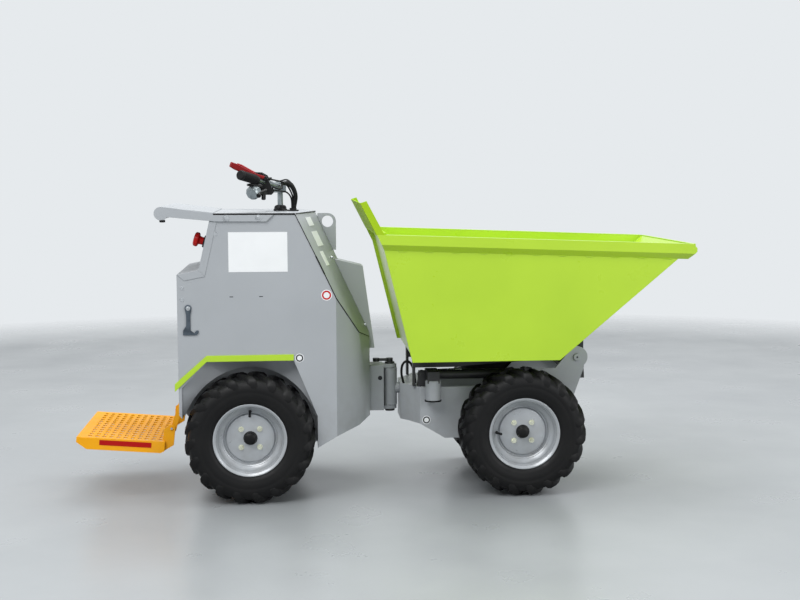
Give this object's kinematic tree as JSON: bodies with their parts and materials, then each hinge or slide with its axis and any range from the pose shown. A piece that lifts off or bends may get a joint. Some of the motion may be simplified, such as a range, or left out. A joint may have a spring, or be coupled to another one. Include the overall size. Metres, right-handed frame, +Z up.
{
  "type": "site dumper",
  "caption": "Battery-electric articulated site dumper: rear power unit with stand-on step and handlebar, pivoting front frame and forward-tipping skip on four wheels.",
  "frame": {"origin": "on the ground under the middle of the machine", "axes": "+X forward over the skip lip, +Y to the left, +Z up"},
  "size_m": [2.3986, 0.848, 1.3111],
  "materials": {
    "body_grey": "satin light grey paint",
    "skip_lime": "gloss lime green paint",
    "step_amber": "amber paint",
    "frame_black": "satin black paint",
    "rim_silver": "silver wheel paint",
    "bright_steel": "zinc plated",
    "tyre_rubber": "black rubber",
    "grip_rubber": "soft black rubber",
    "black_plastic": "moulded black plastic",
    "red_plastic": "moulded red plastic",
    "lever_red": "red powder coat"
  },
  "bodies": {
    "rear_frame": {"rear_chassis": "body_grey", "side_panel_right": "body_grey", "side_panel_left": "body_grey", "top_cover": "body_grey", "dash_panel": "body_grey", "rear_deck": "body_grey", "rear_panel": "body_grey", "front_cover": "body_grey", "nose_box": "body_grey", "lifting_eye": "body_grey", "wheel_arch_right": "body_grey", "wheel_arch_left": "body_grey", "arch_trim_right": "skip_lime", "arch_trim_left": "skip_lime", "grab_rail": "body_grey", "stop_button": "red_plastic", "latch_lever": "bright_steel", "battery_pack": "black_plastic", "rear_axle": "frame_black", "column_collar": "black_plastic", "cable_gland": "black_plastic", "rear_bracket": "body_grey", "articulation_pin": "frame_black", "step_bracket": "step_amber"},
    "step": {"step_deck": "step_amber", "step_ears": "step_amber"},
    "steering_column": {"steering_post": "bright_steel", "handlebar": "frame_black", "grips": "grip_rubber", "control_blocks": "black_plastic", "brake_levers": "lever_red", "horn_housing": "bright_steel", "cable_bundle": "grip_rubber"},
    "knuckle": {"centre_knuckle": "body_grey", "steering_arm": "bright_steel"},
    "front_frame": {"front_chassis": "body_grey", "front_axle": "frame_black", "tub_hinge_pin": "bright_steel", "tub_rest": "frame_black", "actuator_mount": "body_grey"},
    "skip": {"tub_shell": "skip_lime", "tub_rim": "skip_lime", "tub_guard": "skip_lime", "tub_rails": "frame_black"},
    "actuator": {"actuator_body": "frame_black"},
    "actuator_rod_body": {"actuator_rod": "bright_steel"},
    "wheel_rear_right": {"tyre_rear_right": "tyre_rubber", "rim_rear_right": "rim_silver"},
    "wheel_rear_left": {"tyre_rear_left": "tyre_rubber", "rim_rear_left": "rim_silver"},
    "wheel_front_right": {"tyre_front_right": "tyre_rubber", "rim_front_right": "rim_silver"},
    "wheel_front_left": {"tyre_front_left": "tyre_rubber", "rim_front_left": "rim_silver"}
  },
  "joints": [
    {"name": "articulation_steer", "type": "hinge", "parent": "rear_frame", "child": "knuckle", "pos_m": [0.02335, 0, 0.383], "axis": [0, 0, 1], "range_deg": [-30, 30]},
    {"name": "frame_roll", "type": "hinge", "parent": "knuckle", "child": "front_frame", "pos_m": [0.02335, 0, 0.383], "axis": [1, 0, 0], "range_deg": [-8, 8]},
    {"name": "handlebar_turn", "type": "hinge", "parent": "rear_frame", "child": "steering_column", "pos_m": [-0.41565, 0, 1.115], "axis": [0, 0, 1], "range_deg": [-30, 30]},
    {"name": "skip_tip", "type": "hinge", "parent": "front_frame", "child": "skip", "pos_m": [0.77035, 0, 0.524], "axis": [0, 1, 0], "range_deg": [0, 75]},
    {"name": "actuator_swing", "type": "hinge", "parent": "front_frame", "child": "actuator", "pos_m": [0.14135, -0.16, 0.46], "axis": [0, -1, 0], "range_deg": [-0.01, 3.22]},
    {"name": "actuator_stroke", "type": "slide", "parent": "actuator", "child": "actuator_rod_body", "axis": [1, 0, -0.0092], "range_m": [-0.08194, 0.0001]},
    {"name": "step_fold", "type": "hinge", "parent": "rear_frame", "child": "step", "pos_m": [-0.84065, 0, 0.282], "axis": [0, 1, 0], "range_deg": [0, 85.2]},
    {"name": "wheel_rear_right_spin", "type": "hinge", "parent": "rear_frame", "child": "wheel_rear_right", "pos_m": [-0.53765, -0.307, 0.25], "axis": [0, 1, 0], "continuous": true},
    {"name": "wheel_rear_left_spin", "type": "hinge", "parent": "rear_frame", "child": "wheel_rear_left", "pos_m": [-0.53765, 0.307, 0.25], "axis": [0, 1, 0], "continuous": true},
    {"name": "wheel_front_right_spin", "type": "hinge", "parent": "front_frame", "child": "wheel_front_right", "pos_m": [0.52535, -0.307, 0.25], "axis": [0, 1, 0], "continuous": true},
    {"name": "wheel_front_left_spin", "type": "hinge", "parent": "front_frame", "child": "wheel_front_left", "pos_m": [0.52535, 0.307, 0.25], "axis": [0, 1, 0], "continuous": true}
  ],
  "couplings": [
    {"joint": "handlebar_turn", "follows": "articulation_steer", "ratio": 1},
    {"joint": "actuator_swing", "follows": "skip_tip", "ratio": 0.042855},
    {"joint": "actuator_stroke", "follows": "skip_tip", "m_per_rad": -0.062524}
  ]
}
